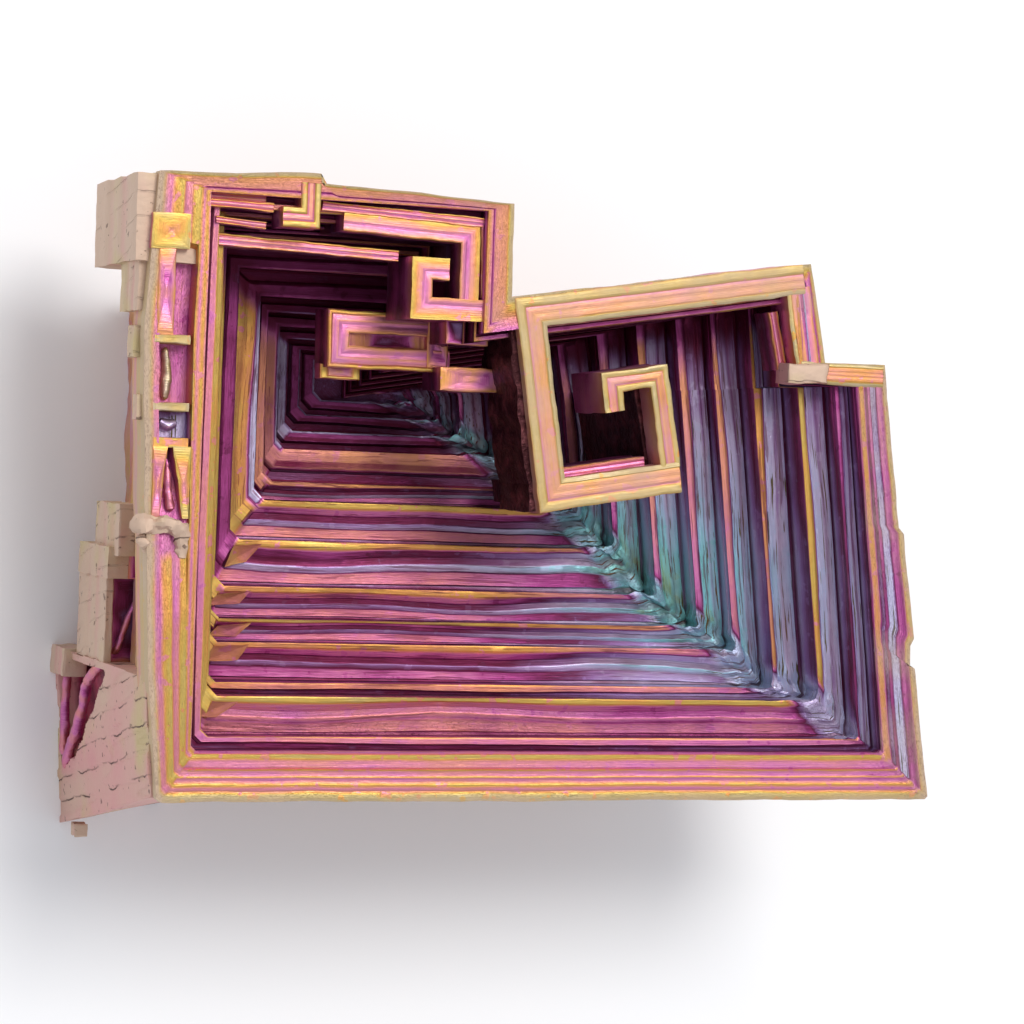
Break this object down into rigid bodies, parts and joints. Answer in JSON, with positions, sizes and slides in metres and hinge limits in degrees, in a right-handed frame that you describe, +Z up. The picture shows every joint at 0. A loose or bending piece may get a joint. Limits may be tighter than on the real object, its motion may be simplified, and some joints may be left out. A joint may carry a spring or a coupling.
{
  "type": "bismuth hopper crystal",
  "caption": "Lab-grown hopper crystal of bismuth: a square stair-stepped pit with a spiral frame and hooked corner bars, lying on its back.",
  "frame": {"origin": "centre of the crystal's box, on the flat underside that it rests on", "axes": "+X along the long front rim, +Y towards the hooked back corner, +Z up out of the open pit"},
  "size_m": [0.0574, 0.0456, 0.0265],
  "materials": {
    "bismuth": "satin metal under an iridescent oxide film"
  },
  "bodies": {
    "root": {"bismuth_crystal": "bismuth"}
  },
  "joints": []
}
